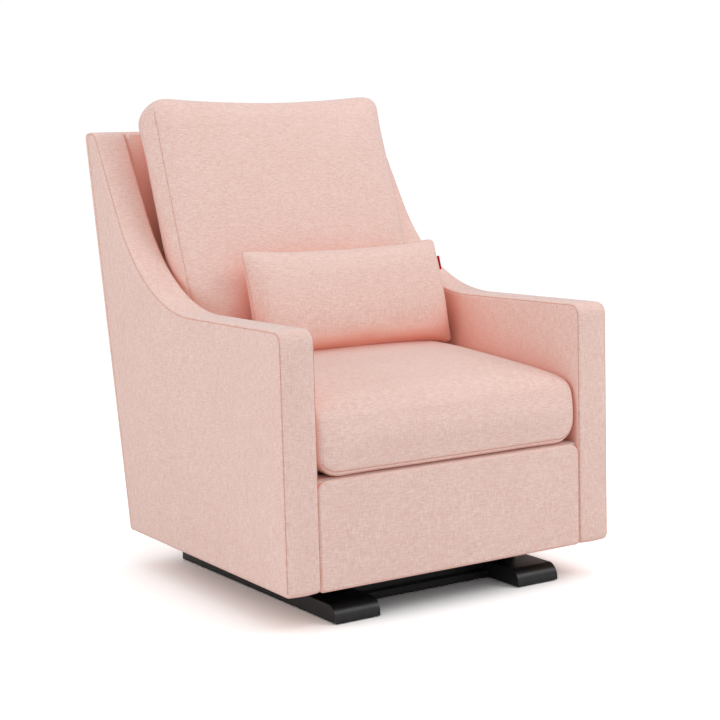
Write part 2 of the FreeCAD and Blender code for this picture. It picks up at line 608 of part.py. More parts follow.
# ---------------------------------------------------------------- Glide linkage
def link(name, side, sign, depth):
    """A swing link with an eye at each end and a flanged bush pressed in each eye."""
    start = side_x(sign, LINK_X, "link_thick")
    bar = box(name + "_bar", (start, depth + "-link_width/2", LOWER_PIVOT), "link_thick", "link_width",
              "link_length")
    eyes = []
    bores = []
    bushes = []
    for end, height in (("upper", PIVOT_HEIGHT), ("lower", LOWER_PIVOT)):
        place = (start, depth, height)
        eyes.append(rod("%s_%s_eye" % (name, end), place, "link_width/2", "link_thick"))
        bores.append(rod("%s_%s_bore" % (name, end), ("-overall_width/2", depth, height),
                         "pivot_radius+bush_wall", "overall_width"))
        ring = rod("%s_%s_ring" % (name, end), place, "pivot_radius+bush_wall", "link_thick")
        pin_hole = rod("%s_%s_hole" % (name, end), ("-overall_width/2", depth, height),
                       "pivot_radius+running_gap", "overall_width")
        bushes.append(cut("%s_%s_bush" % (name, end), ring, [pin_hole]))
    keep(cut(name, fuse(name + "_blank", [bar] + eyes), bores), name)
    group(name + "_bushes", bushes)


def hanger_bolt(name, sign, depth):
    """A shoulder bolt from outside the link, through the spacer and the upright, to its nut."""
    head_x = "(%s+link_thick+side_gap)" % LINK_X
    nut_x = "(%s-nut_height)" % UPRIGHT_X
    length = "(%s-%s)" % (head_x, nut_x)
    shank = rod(name + "_shank", (side_x(sign, nut_x, length), depth, PIVOT_HEIGHT), "pivot_radius", length)
    head = rod(name + "_head", (side_x(sign, head_x, "bolt_head"), depth, PIVOT_HEIGHT),
               "bolt_head_radius", "bolt_head")
    return fuse(name, [shank, head])


def ring(name, place, outer, length, hole="pivot_radius"):
    """A round spacer or nut blank on a pivot."""
    body = rod(name + "_body", place, outer, length)
    bore = rod(name + "_bore", ("-overall_width/2", place[1], place[2]), hole, "overall_width")
    return cut(name, body, [bore])


def hex_nut(name, sign, depth):
    nut_x = side_x(sign, "(%s-nut_height)" % UPRIGHT_X, "nut_height")
    blank = doc.addObject("Part::Prism", name + "_blank")
    blank.Polygon = 6
    blank.Placement = FreeCAD.Placement(FreeCAD.Vector(), FreeCAD.Rotation(FreeCAD.Vector(0, 1, 0), 90))
    bind(blank, Circumradius="bolt_head_radius", Height="nut_height")
    move(blank, nut_x, depth, PIVOT_HEIGHT)
    bore = rod(name + "_bore", ("-overall_width/2", depth, PIVOT_HEIGHT), "pivot_radius", "overall_width")
    return cut(name, blank, [bore])


def carrier(side, sign):
    """The steel rail on the seat frame that the lower pivot studs are riveted to."""
    start = side_x(sign, CARRIER_X, "carrier_thick")
    depth = FRONT_PIVOT + "-carrier_margin"
    bar = box("carrier_bar_" + side, (start, depth, LOWER_PIVOT + "-carrier_height/2"), "carrier_thick",
              PIVOT_SPREAD + "+2*carrier_margin", "carrier_height")
    bores = [rod("carrier_bore_%s_%s" % (end, side), ("-overall_width/2", place, LOWER_PIVOT), "pivot_radius",
                 "overall_width") for end, place in PIVOTS]
    fixings = []
    for number in range(3):
        along = "(%s+%d*%s/4)" % (FRONT_PIVOT, number + 1, PIVOT_SPREAD)
        face = CARRIER_X if sign > 0 else "-" + CARRIER_X
        fixings.append(screw("carrier_screw_%s_%d" % (side, number + 1), (face, along, LOWER_PIVOT), sign))
        bores.append(rod("carrier_hole_%s_%d" % (side, number + 1), ("-overall_width/2", along, LOWER_PIVOT),
                         "screw_radius", "overall_width"))
    keep(cut("carrier_rail_" + side, bar, bores), "carrier_rail_" + side)
    return fixings


def carrier_stud(name, sign, depth):
    """A stud riveted flush in the carrier, with a shoulder against it and a cap inside the link."""
    cap_x = "(%s-side_gap-stud_cap)" % LINK_X
    length = "(%s+carrier_thick-%s)" % (CARRIER_X, cap_x)
    shoulder = "(spacer-side_gap)"
    pieces = [rod(name + "_shank", (side_x(sign, cap_x, length), depth, LOWER_PIVOT), "pivot_radius", length),
              rod(name + "_cap", (side_x(sign, cap_x, "stud_cap"), depth, LOWER_PIVOT), "bolt_head_radius",
                  "stud_cap"),
              rod(name + "_shoulder", (side_x(sign, "(%s-%s)" % (CARRIER_X, shoulder), shoulder), depth,
                  LOWER_PIVOT), "pivot_radius+spacer_wall", shoulder)]
    return fuse(name, pieces)


def linkage():
    bolts = []
    nuts = []
    spacers = []
    studs = []
    carrier_screws = []
    for side, sign in SIDES:
        for end, depth in PIVOTS:
            name = "%s_%s" % (end, side)
            link("link_" + name, side, sign, depth)
            bolts.append(hanger_bolt("hanger_bolt_" + name, sign, depth))
            nuts.append(hex_nut("hanger_nut_" + name, sign, depth))
            spacer_x = side_x(sign, "(%s+upright_thick)" % UPRIGHT_X, "(spacer-side_gap)")
            spacers.append(ring("hanger_spacer_" + name, (spacer_x, depth, PIVOT_HEIGHT),
                                "pivot_radius+spacer_wall", "spacer-side_gap"))
            studs.append(carrier_stud("carrier_stud_" + name, sign, depth))
        carrier_screws += carrier(side, sign)
    group("hanger_bolts", bolts)
    group("hanger_nuts", nuts)
    group("hanger_spacers", spacers)
    group("carrier_studs", studs)
    group("carrier_screws", carrier_screws)


def write_parts():
    """Check that every piece came out whole, then write each one to its own file."""
    doc.recompute()
    for item in doc.Objects:
        if "Invalid" in item.State or "Error" in item.State:
            raise RuntimeError("failed: " + item.Label)
    for piece in NODES:
        if piece.Shape.isNull() or not piece.Shape.isValid() or not piece.Shape.Solids:
            raise RuntimeError("no sound shape: " + piece.Label)
    os.makedirs("parts", exist_ok=True)
    for piece in NODES:
        piece.Shape.exportStep("parts/%s.step" % piece.Label)


for arm_side, arm_sign in SIDES:
    arm(arm_side, arm_sign)
seat_frame()
springs()
seat_padding()
back()
cushions()
glide_pads, foot_brackets, base_screws = pedestal()
group("foot_glides", glide_pads)
group("foot_brackets", foot_brackets)
group("base_screws", base_screws)
cross_members()
linkage()
write_parts()
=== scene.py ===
import math

import bmesh
import bpy
import numpy as np
from mathutils import Matrix, Vector, geometry
from mathutils.bvhtree import BVHTree


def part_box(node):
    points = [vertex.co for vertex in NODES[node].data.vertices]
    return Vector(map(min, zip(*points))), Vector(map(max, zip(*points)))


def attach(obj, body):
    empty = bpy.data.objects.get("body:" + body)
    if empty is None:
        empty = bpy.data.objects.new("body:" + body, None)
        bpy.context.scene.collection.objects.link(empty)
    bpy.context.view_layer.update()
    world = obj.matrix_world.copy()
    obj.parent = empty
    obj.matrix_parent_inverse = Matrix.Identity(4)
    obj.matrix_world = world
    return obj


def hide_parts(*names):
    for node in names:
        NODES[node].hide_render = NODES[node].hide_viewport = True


# Looks for the upholstered glider. Lengths are in metres in the row frame: origin on the floor,
# +Z up, the sitter faces -Y, and "left" is the sitter's left, +X. A depth is measured back from
# the front plane of the arms, as in the part's own sizes.

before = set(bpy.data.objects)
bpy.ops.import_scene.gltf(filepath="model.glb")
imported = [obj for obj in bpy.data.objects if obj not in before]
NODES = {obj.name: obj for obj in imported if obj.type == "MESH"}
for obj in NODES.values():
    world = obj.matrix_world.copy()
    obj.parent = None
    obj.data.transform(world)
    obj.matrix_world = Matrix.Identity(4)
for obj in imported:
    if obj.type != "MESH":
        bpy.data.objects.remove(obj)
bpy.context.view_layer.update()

SIDES = (("left", 1), ("right", -1))
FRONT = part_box("arm_outer_pad_left")[0].y
BODY_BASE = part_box("arm_outer_pad_left")[0].z
HALF_WIDTH = 0.375
ARM_WIDTH = 0.073
ARM_HEIGHT = 0.554
WING_HEIGHT = 0.917
WING_FRONT = 0.800
BACK_FOOT = 0.692
ARM_BEND = (0.5793, ARM_HEIGHT)
BODY_DEPTH = 0.846
TOE = 0.016 / BODY_DEPTH
BACK_LEAN = math.radians(18)
BACK_CUSHION_FOOT = (0.4945, 0.449)
BACK_CUSHION_PITCH = math.radians(18.8)
BACK_CUSHION_SET = 0.043
PILLOW_FOOT = (0.4006, 0.4485)
PILLOW_PITCH = math.radians(15.5)
PILLOW_OFFSET = 0.042
LIGHT_AIM = Vector((0, 0, 0.45))
SEAM_SHARE = 0.29


# ---------------------------------------------------------------- Camera, floor and light
def aim_camera():
    """A portrait lens at chest height, off to the sitter's right of the front."""
    azimuth, elevation, roll = (math.radians(angle) for angle in (-32.2, 7.35, -1.56))
    target = Vector((-0.0169, -0.119, 0.4451))
    back = Vector((math.sin(azimuth) * math.cos(elevation), -math.cos(azimuth) * math.cos(elevation),
                   math.sin(elevation)))
    right = Vector((math.cos(azimuth), math.sin(azimuth), 0))
    up = back.cross(right)
    turned_right = right * math.cos(roll) + up * math.sin(roll)
    turned_up = up * math.cos(roll) - right * math.sin(roll)
    camera = bpy.data.objects.new("camera", bpy.data.cameras.new("camera"))
    camera.data.lens = 84.25
    camera.data.clip_start = 0.1
    camera.matrix_world = Matrix((turned_right, turned_up, back)).transposed().to_4x4()
    camera.matrix_world.translation = target + back * 3.4158
    bpy.context.scene.collection.objects.link(camera)
    bpy.context.scene.camera = camera


def lay_floor():
    """A plain white floor that runs out of sight into the white of the room."""
    reach = 60
    corners = [(-reach, -reach, 0), (reach, -reach, 0), (reach, reach, 0), (-reach, reach, 0)]
    mesh = bpy.data.meshes.new("floor")
    mesh.from_pydata(corners, [], [(0, 1, 2, 3)])
    floor = bpy.data.objects.new("floor", mesh)
    bpy.context.scene.collection.objects.link(floor)
    material, tree, shader = finish_material("floor_white", 0.9, Specular_IOR_Level=0.1)
    seen = node(tree, "LightPath").outputs["Is Camera Ray"]
    colour(tree, shader, seen, (0.84, 0.84, 0.84), (1.52, 1.52, 1.52))
    mesh.materials.append(material)


def hang_light(name, place, size, power):
    lamp = bpy.data.lights.new(name, "AREA")
    lamp.shape = "DISK"
    lamp.size = size
    lamp.energy = power
    holder = bpy.data.objects.new(name, lamp)
    holder.location = place
    holder.rotation_mode = "QUATERNION"
    holder.rotation_quaternion = (LIGHT_AIM - Vector(place)).to_track_quat("-Z", "Y")
    bpy.context.scene.collection.objects.link(holder)


def light_room():
    """A white room with broad soft lights in front, above and at the side."""
    world = bpy.data.worlds.new("white_room")
    world.use_nodes = True
    background = world.node_tree.nodes["Background"]
    background.inputs["Color"].default_value = (1, 1, 1, 1)
    seen = node(world.node_tree, "LightPath").outputs["Is Camera Ray"]
    world.node_tree.links.new(blend(world.node_tree, seen, 0.70, 1.02), background.inputs["Strength"])
    bpy.context.scene.world = world
    hang_light("broad_light", (1.9, -2.2, 2.5), 1.8, 24)
    hang_light("top_light", (0.3, 0.2, 3.6), 2.6, 14)
    hang_light("side_fill", (-3.2, -0.4, 1.3), 2.2, 17)
    bpy.context.scene.view_settings.view_transform = "Standard"


# ---------------------------------------------------------------- Shader helpers
def effect(name, inputs, outputs, build):
    """A shader node group with named sockets, filled in by a builder."""
    tree = bpy.data.node_groups.new(name, "ShaderNodeTree")
    for label, start in inputs:
        tree.interface.new_socket(label, in_out="INPUT", socket_type="NodeSocketFloat").default_value = start
    for label in outputs:
        tree.interface.new_socket(label, in_out="OUTPUT", socket_type="NodeSocketFloat")
    build(tree, tree.nodes.new("NodeGroupInput").outputs, tree.nodes.new("NodeGroupOutput").inputs)
    return tree


def node(tree, kind, values=None, **settings):
    """A shader node with its properties and unlinked socket values set."""
    made = tree.nodes.new("ShaderNode" + kind)
    for key, setting in settings.items():
        setattr(made, key, setting)
    for key, setting in (values or {}).items():
        made.inputs[key].default_value = setting
    return made


def calc(tree, operation, *terms, clamp=False):
    """One arithmetic step on sockets or plain numbers."""
    made = node(tree, "Math", operation=operation, use_clamp=clamp)
    for index, term in enumerate(terms):
        if isinstance(term, (int, float)):
            made.inputs[index].default_value = term
        else:
            tree.links.new(term, made.inputs[index])
    return made.outputs[0]


def noise(tree, scale, detail, roughness=0.55):
    """Noise over the piece's own coordinates, with a scale for each axis."""
    place = node(tree, "TexCoord")
    mapping = node(tree, "Mapping", {"Scale": scale})
    texture = node(tree, "TexNoise", {"Scale": 1.0, "Detail": detail, "Roughness": roughness})
    tree.links.new(place.outputs["Object"], mapping.inputs["Vector"])
    tree.links.new(mapping.outputs["Vector"], texture.inputs["Vector"])
    return texture.outputs["Fac"]


def blend(tree, share, low, high):
    """Blend two values or two colours by a share from 0 to 1."""
    coloured = isinstance(low, tuple)
    mix = node(tree, "Mix", data_type="RGBA" if coloured else "FLOAT")
    first, second, result = (6, 7, 2) if coloured else (2, 3, 0)
    for index, term in ((0, share), (first, low), (second, high)):
        if coloured and isinstance(term, tuple):
            mix.inputs[index].default_value = (*term, 1)
        elif isinstance(term, (int, float)):
            mix.inputs[index].default_value = term
        else:
            tree.links.new(term, mix.inputs[index])
    return mix.outputs[result]


def blend_sockets(tree, share, first, second):
    """Blend a linked colour towards a plain one."""
    mix = node(tree, "Mix", data_type="RGBA")
    tree.links.new(share, mix.inputs[0])
    tree.links.new(first, mix.inputs[6])
    mix.inputs[7].default_value = (*second, 1)
    return mix.outputs[2]


def finish_material(name, roughness, **sockets):
    """A material with its Principled shader and the plain values on the shader's own sockets."""
    material = bpy.data.materials.new(name)
    material.use_nodes = True
    shader = material.node_tree.nodes["Principled BSDF"]
    shader.inputs["Roughness"].default_value = roughness
    for label, setting in sockets.items():
        shader.inputs[label.replace("_", " ")].default_value = setting
    return material, material.node_tree, shader


def relief(tree, shader, height, strength, distance):
    bump = node(tree, "Bump", {"Strength": strength, "Distance": distance})
    tree.links.new(height, bump.inputs["Height"])
    tree.links.new(bump.outputs["Normal"], shader.inputs["Normal"])


def colour(tree, shader, share, low, high):
    tree.links.new(blend(tree, share, low, high), shader.inputs["Base Color"])


# ---------------------------------------------------------------- Shared effects
def build_slub_weave(tree, given, out):
    """Slubby threads both ways over upright and level faces, with a fine weave and a cloudy nap."""
    normal = node(tree, "NewGeometry")
    split = node(tree, "SeparateXYZ")
    tree.links.new(normal.outputs["Normal"], split.inputs["Vector"])
    level_face = calc(tree, "SUBTRACT", calc(tree, "ABSOLUTE", split.outputs["Z"]), 0.55)
    level_face = calc(tree, "MULTIPLY", level_face, 4.0, clamp=True)
    upright = noise(tree, (680, 680, 70), 2)
    across = noise(tree, (80, 80, 680), 2)
    lengthwise = noise(tree, (680, 75, 75), 2)
    crosswise = noise(tree, (75, 680, 75), 2)
    warp = blend(tree, level_face, upright, lengthwise)
    weft = blend(tree, level_face, across, crosswise)
    fine = calc(tree, "ADD", noise(tree, (1500, 1500, 420), 2), noise(tree, (420, 420, 1500), 2))
    slubs = calc(tree, "SUBTRACT", calc(tree, "ADD", warp, weft), 1.0)
    nap = calc(tree, "SUBTRACT", noise(tree, (9, 9, 7), 4, 0.62), 0.5)
    weave = calc(tree, "MULTIPLY", calc(tree, "SUBTRACT", fine, 1.0), given["Weave"])
    tone = calc(tree, "ADD", calc(tree, "MULTIPLY", slubs, given["Slubs"]), weave)
    tone = calc(tree, "ADD", tone, calc(tree, "MULTIPLY", nap, given["Nap"]))
    tree.links.new(calc(tree, "ADD", tone, 0.5, clamp=True), out["Tone"])
    tree.links.new(calc(tree, "ADD", fine, calc(tree, "MULTIPLY", slubs, 1.4)), out["Height"])


def build_wood_grain(tree, given, out):
    """Long grain along the depth of the chair, with fine pores."""
    streaks = noise(tree, (60, 3.5, 60), 5, 0.6)
    pores = noise(tree, (900, 30, 900), 2)
    pores_apart = calc(tree, "SUBTRACT", pores, 0.5)
    tone = calc(tree, "SUBTRACT", calc(tree, "MULTIPLY_ADD", pores_apart, given["Pores"], streaks), 0.5)
    tree.links.new(calc(tree, "MULTIPLY_ADD", tone, given["Contrast"], 0.5, clamp=True), out["Tone"])
    tree.links.new(calc(tree, "ADD", streaks, calc(tree, "MULTIPLY", pores, 0.6)), out["Height"])


def build_metal_wear(tree, given, out):
    """Fine drawn lines and soft smudges on metal."""
    smudge = noise(tree, (18, 18, 18), 4, 0.6)
    lines = noise(tree, (60, 60, 1400), 2)
    smudge = calc(tree, "SUBTRACT", smudge, 0.5)
    tree.links.new(calc(tree, "MULTIPLY_ADD", smudge, given["Smudges"], 0.5, clamp=True), out["Tone"])
    tree.links.new(lines, out["Height"])


# ---------------------------------------------------------------- Materials
def cloth_material(name, weave, dark, light, sheen=1.0, slubs=2.5, nap=0.4, painted_fold_shade=None):
    """Brushed slub cloth: matt, with a pale bloom of short fibres, and painted shade that deepens its colour
    in occluded creases and gaps.
    """
    material, tree, shader = finish_material(name, 0.95, Sheen_Weight=sheen, Sheen_Roughness=0.22,
                                             Specular_IOR_Level=0.12)
    shader.inputs["Sheen Tint"].default_value = (1, 0.95, 0.93, 1)
    cloth = node(tree, "Group", node_tree=weave)
    for label, setting in (("Slubs", slubs), ("Weave", 0.5), ("Nap", nap)):
        cloth.inputs[label].default_value = setting
    colour(tree, shader, cloth.outputs["Tone"], dark, light)
    # Painted shade: an ambient occlusion share mixes the base colour towards a deeper, warmer colour in
    # creases and gaps.
    if painted_fold_shade:
        open_cloth = shader.inputs["Base Color"].links[0].from_socket
        shade_occlusion = node(tree, "AmbientOcclusion", {"Distance": 0.16}, samples=8)
        share = calc(tree, "MULTIPLY_ADD", shade_occlusion.outputs["AO"], -1.5, 1.12, clamp=True)
        tree.links.new(blend_sockets(tree, share, open_cloth, painted_fold_shade), shader.inputs["Base Color"])
    relief(tree, shader, cloth.outputs["Height"], 0.4, 0.0007)
    return material


def painted_wood(grain):
    """Black satin lacquer that lets a little grain through, its gloss varied in soft blotches."""
    material, tree, shader = finish_material("black_lacquer", 0.34, Specular_IOR_Level=0.45)
    wood = node(tree, "Group", node_tree=grain)
    wood.inputs["Pores"].default_value = 0.6
    wood.inputs["Contrast"].default_value = 1.2
    colour(tree, shader, wood.outputs["Tone"], (0.008, 0.008, 0.0084), (0.019, 0.0188, 0.0188))
    scuffs = noise(tree, (35, 35, 35), 4, 0.65)
    tree.links.new(blend(tree, scuffs, 0.26, 0.46), shader.inputs["Roughness"])
    relief(tree, shader, wood.outputs["Height"], 0.12, 0.0004)
    return material


def bare_wood(name, grain, dark, light, roughness=0.7):
    material, tree, shader = finish_material(name, roughness, Specular_IOR_Level=0.25)
    wood = node(tree, "Group", node_tree=grain)
    wood.inputs["Pores"].default_value = 1.0
    wood.inputs["Contrast"].default_value = 2.0
    colour(tree, shader, wood.outputs["Tone"], dark, light)
    relief(tree, shader, wood.outputs["Height"], 0.25, 0.0005)
    return material


def steel(name, wear, low, high, roughness, metallic=1.0):
    material, tree, shader = finish_material(name, roughness, Metallic=metallic)
    marks = node(tree, "Group", node_tree=wear)
    marks.inputs["Smudges"].default_value = 1.6
    colour(tree, shader, marks.outputs["Tone"], low, high)
    worn = blend(tree, marks.outputs["Tone"], roughness * 0.8, roughness * 1.3)
    tree.links.new(worn, shader.inputs["Roughness"])
    relief(tree, shader, marks.outputs["Height"], 0.1, 0.0002)
    return material


def moulded(name, low, high, roughness=0.5):
    """Plain moulded plastic with a faint mottle."""
    material, tree, shader = finish_material(name, roughness, Specular_IOR_Level=0.4)
    colour(tree, shader, noise(tree, (25, 25, 25), 3), low, high)
    relief(tree, shader, noise(tree, (700, 700, 700), 2), 0.08, 0.0003)
    return material


def make_materials():
    weave = effect("slub_weave", (("Slubs", 1.0), ("Weave", 0.5), ("Nap", 0.5)), ("Tone", "Height"),
                   build_slub_weave)
    grain = effect("wood_grain", (("Pores", 0.5), ("Contrast", 1.0)), ("Tone", "Height"), build_wood_grain)
    wear = effect("metal_wear", (("Smudges", 1.0),), ("Tone", "Height"), build_metal_wear)
    return {
        # The blush cloth gets painted shade: a deeper salmon mixed in where it is occluded.
        "blush": cloth_material("blush_weave", weave, (0.82, 0.55, 0.485), (0.94, 0.715, 0.65),
                                painted_fold_shade=(0.97, 0.50, 0.40)),
        # The seam thread is a real seam, coloured darker than the cloth as painted shade for the crease it
        # lies in.
        "seam": cloth_material("seam_thread_crease_shade", weave, (0.66, 0.33, 0.25), (0.78, 0.42, 0.33), 0.2),
        "deck": cloth_material("deck_felt", weave, (0.42, 0.40, 0.38), (0.56, 0.54, 0.51), 0.3, 0.6, 1.2),
        "lining": cloth_material("black_lining", weave, (0.010, 0.010, 0.011), (0.028, 0.028, 0.030), 0.1),
        "web": cloth_material("elastic_web", weave, (0.10, 0.09, 0.08), (0.62, 0.58, 0.50), 0.2, 3.0, 0.2),
        "felt": cloth_material("glide_felt", weave, (0.03, 0.03, 0.03), (0.09, 0.09, 0.09), 0.4, 0.5, 1.0),
        "red": cloth_material("red_tape", weave, (0.36, 0.004, 0.012), (0.55, 0.012, 0.022), 0.25),
        "lacquer": painted_wood(grain),
        "hardwood": bare_wood("hardwood", grain, (0.42, 0.26, 0.13), (0.66, 0.46, 0.27)),
        "plywood": bare_wood("plywood", grain, (0.50, 0.35, 0.20), (0.72, 0.55, 0.36), 0.78),
        "black_steel": steel("black_steel", wear, (0.010, 0.010, 0.011), (0.030, 0.030, 0.032), 0.42, 0.4),
        "bright_steel": steel("bright_steel", wear, (0.42, 0.42, 0.43), (0.66, 0.66, 0.67), 0.3),
        "spring_steel": steel("spring_steel", wear, (0.16, 0.16, 0.17), (0.34, 0.33, 0.32), 0.38),
        "nylon": moulded("bush_nylon", (0.52, 0.50, 0.44), (0.68, 0.66, 0.60)),
    }


NODE_FINISH = {
    "foot_left": "lacquer", "foot_right": "lacquer", "cross_rail_": "lacquer", "stretcher_": "lacquer",
    "upright_": "lacquer", "foot_glides": "felt", "foot_brackets": "black_steel",
    "base_screws": "bright_steel", "carrier_screws": "bright_steel", "hanger_bolts": "bright_steel",
    "hanger_nuts": "bright_steel", "hanger_spacers": "bright_steel", "carrier_studs": "bright_steel",
    "carrier_rail_": "black_steel", "spring_clips": "nylon", "seat_springs": "spring_steel",
    "seat_rail_": "hardwood", "corner_blocks": "hardwood", "back_side_": "hardwood",
    "back_top_rail": "hardwood", "back_foot_rail": "hardwood", "arm_front_post_": "hardwood",
    "arm_outer_board_": "plywood", "arm_inner_board_": "plywood", "back_webbing": "web",
    "dust_cover": "lining", "seat_deck": "deck", "pillow_tab": "red",
}


def finish_nodes(materials):
    """Give every CAD node that stays in sight or behind the covers its own finish."""
    for name, thing in NODES.items():
        if name.startswith("link_"):
            key = "nylon" if name.endswith("_bushes") else "black_steel"
        else:
            key = next((NODE_FINISH[start] for start in NODE_FINISH if name.startswith(start)), "blush")
        thing.data.materials.clear()
        thing.data.materials.append(materials[key])


# ---------------------------------------------------------------- Mesh helpers
def add_piece(name, mesh, material, body="seat", stands_for=()):
    """Put a finished mesh in the scene as a named piece of a body."""
    mesh.materials.append(material)
    for polygon in mesh.polygons:
        polygon.use_smooth = True
    piece = bpy.data.objects.new(name, mesh)
    bpy.context.scene.collection.objects.link(piece)
    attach(piece, body)
    if stands_for:
        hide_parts(*stands_for)
    return piece


def spaced(points, step, closed=True):
    """Resample a polyline to points about a step apart, keeping its ends."""
    points = np.asarray(points, float)
    if closed:
        points = np.vstack([points, points[:1]])
    lengths = np.linalg.norm(np.diff(points, axis=0), axis=1)
    along = np.concatenate([[0], np.cumsum(lengths)])
    count = max(8, int(round(along[-1] / step)))
    marks = np.linspace(0, along[-1], count + 1)
    if closed:
        marks = marks[:-1]
    return np.column_stack([np.interp(marks, along, points[:, axis]) for axis in range(points.shape[1])])


def rounded(corners):
    """A closed outline from (x, y, radius) corners, each turned with an arc. Runs anticlockwise."""
    outline = []
    count = len(corners)
    for index, (x, y, radius) in enumerate(corners):
        here = np.array((x, y), float)
        before = np.array(corners[index - 1][:2], float) - here
        after = np.array(corners[(index + 1) % count][:2], float) - here
        before /= np.linalg.norm(before)
        after /= np.linalg.norm(after)
        half = math.acos(max(-1, min(1, float(before @ after)))) / 2
        if radius <= 0 or half > math.pi / 2 - 0.01:
            outline.append(here)
            continue
        reach = radius / math.tan(half)
        start = here + before * reach
        end = here + after * reach
        bisector = (before + after) / np.linalg.norm(before + after)
        centre = here + bisector * radius / math.sin(half)
        first = math.atan2(*(start - centre)[::-1])
        sweep = (math.atan2(*(end - centre)[::-1]) - first + math.pi) % (2 * math.pi) - math.pi
        steps = max(3, int(abs(sweep) * radius / 0.0025))
        for step in range(min(steps, 60) + 1):
            angle = first + sweep * step / min(steps, 60)
            outline.append(centre + radius * np.array((math.cos(angle), math.sin(angle))))
    return np.array(outline)


def outward(outline):
    """Unit normals that point out of an anticlockwise closed outline."""
    run = np.roll(outline, -1, axis=0) - np.roll(outline, 1, axis=0)
    normals = np.column_stack([run[:, 1], -run[:, 0]])
    return normals / np.linalg.norm(normals, axis=1)[:, None]


def edge_distance(points, outline):
    """Distance of each point to a closed outline."""
    start = outline[None]
    run = np.roll(outline, -1, axis=0)[None] - start
    share = np.clip(((points[:, None] - start) * run).sum(2) / (run ** 2).sum(2), 0, 1)
    return np.linalg.norm(points[:, None] - start - share[..., None] * run, axis=2).min(1)


def rolled(distance, radius):
    """How far a face falls back at a distance from its edge, for a rolled edge with a sunk seam."""
    short = np.clip(radius - distance, 0, radius)
    sunk = 0.0011 * np.exp(-((distance - SEAM_SHARE * radius) / 0.0012) ** 2)
    return radius - np.sqrt(np.maximum(radius ** 2 - short ** 2, 0)) + sunk


def ripple(points, amount):
    """A slow, fixed unevenness of stuffed cloth."""
    waves = ((17, 9, 0.3), (8, 21, 1.7), (27, -13, 4.1), (-5, 31, 2.2))
    total = sum(np.sin(points[:, 0] * a + points[:, 1] * b + c) for a, b, c in waves)
    return amount * total / len(waves)


def slab_mesh(name, outline, thick, roll, place, crown=(0.004, 0.004), strip_crown=0.002, grid=0.016,
              dome=0.06, uneven=0.0006):
    """A stuffed slab: two crowned faces on an outline, joined by a sewn strip round the edge.

    The outline is in the slab's plane, its thickness is centred on that plane, and `place` turns
    (along, up, out) arrays into points of the row frame."""
    outline = spaced(outline, 0.006)
    seam = outline - outward(outline) * SEAM_SHARE * roll
    rings = [seam]
    for inset in (0.45, 0.62, 0.8, 1.0, 1.35, 1.9):
        rings.append(outline - outward(outline) * inset * roll)
    low, high = outline.min(0), outline.max(0)
    across, up = np.meshgrid(np.arange(low[0], high[0], grid), np.arange(low[1], high[1], grid))
    inner = np.column_stack([across.ravel(), up.ravel()])
    flat = cut_points(outline, np.vstack([np.vstack(rings), inner]), roll)
    border = [tuple(point) for point in seam]
    extra = [tuple(point) for point in flat]
    edges = [(index, (index + 1) % len(border)) for index in range(len(border))]
    points, _, faces, _, _, _ = geometry.delaunay_2d_cdt(
        [Vector(point) for point in border + extra], edges, [], 1, 1e-6)
    points = np.array([(point.x, point.y) for point in points])
    distance = edge_distance(points, outline)
    fall = rolled(distance, roll)
    swell = 1 - np.exp(-np.maximum(distance - 0.3 * roll, 0) / dome)
    mesh = bmesh.new()
    sheets = []
    for way, height in ((1, crown[0]), (-1, crown[1])):
        out = way * (thick / 2 - fall + height * swell + ripple(points, uneven) * swell)
        spots = place(points[:, 0], points[:, 1], out)
        verts = [mesh.verts.new(spot) for spot in spots]
        sheets.append(verts)
        for face in faces:
            corners = [verts[index] for index in face]
            mesh.faces.new(corners if way > 0 else corners[::-1])
    half = thick / 2 - SEAM_SHARE * roll
    edge_steps = [0.0, 0.2, 0.45, 0.75, 1.2, 1.9]
    offsets = [half - step * roll for step in edge_steps if step * roll < half]
    fill = np.linspace(offsets[-1], -offsets[-1], max(3, int(2 * offsets[-1] / 0.012) + 1))[1:-1]
    rows = offsets + list(fill) + [-offset for offset in offsets[::-1]]
    normals = outward(outline)
    strip = []
    for out in rows:
        depth = np.array([thick / 2 - abs(out)])
        shift = strip_crown * (1 - (out / (thick / 2)) ** 2) - float(rolled(depth, roll)[0])
        ring = outline + normals * shift
        spots = place(ring[:, 0], ring[:, 1], np.full(len(ring), out))
        strip.append([mesh.verts.new(spot) for spot in spots])
    for upper, lower in zip(strip[:-1], strip[1:]):
        for index in range(len(upper)):
            after = (index + 1) % len(upper)
            mesh.faces.new((upper[index], lower[index], lower[after], upper[after]))
    bmesh.ops.remove_doubles(mesh, verts=mesh.verts, dist=0.0006)
    bmesh.ops.recalc_face_normals(mesh, faces=mesh.faces)
    data = bpy.data.meshes.new(name)
    mesh.to_mesh(data)
    mesh.free()
    seams = [place(seam[:, 0], seam[:, 1], np.full(len(seam), way * half)) for way in (1, -1)]
    return data, seams


def cut_points(outline, points, roll):
    """The points that lie inside an outline and clear of its seam."""
    following = np.roll(outline, -1, axis=0)
    inside = np.zeros(len(points), bool)
    for start, end in zip(outline, following):
        crosses = (start[1] > points[:, 1]) != (end[1] > points[:, 1])
        if not crosses.any():
            continue
        at = (end[0] - start[0]) * (points[:, 1] - start[1]) / (end[1] - start[1] + 1e-12) + start[0]
        inside ^= crosses & (points[:, 0] < at)
    return points[inside & (edge_distance(points, outline) > 0.36 * roll)]


def seam_line(name, path, material, radius=0.0008, closed=True):
    """A sewn line that lies in its crease."""
    path = np.asarray(path)
    curve = bpy.data.curves.new(name, "CURVE")
    curve.dimensions = "3D"
    curve.bevel_depth = radius
    curve.bevel_resolution = 1
    spline = curve.splines.new("POLY")
    spline.points.add(len(path) - 1)
    spline.points.foreach_set("co", np.column_stack([path, np.ones(len(path))]).ravel())
    spline.use_cyclic_u = closed
    holder = bpy.data.objects.new(name + "_curve", curve)
    mesh = bpy.data.meshes.new_from_object(holder)
    bpy.data.objects.remove(holder)
    return add_piece(name, mesh, material)


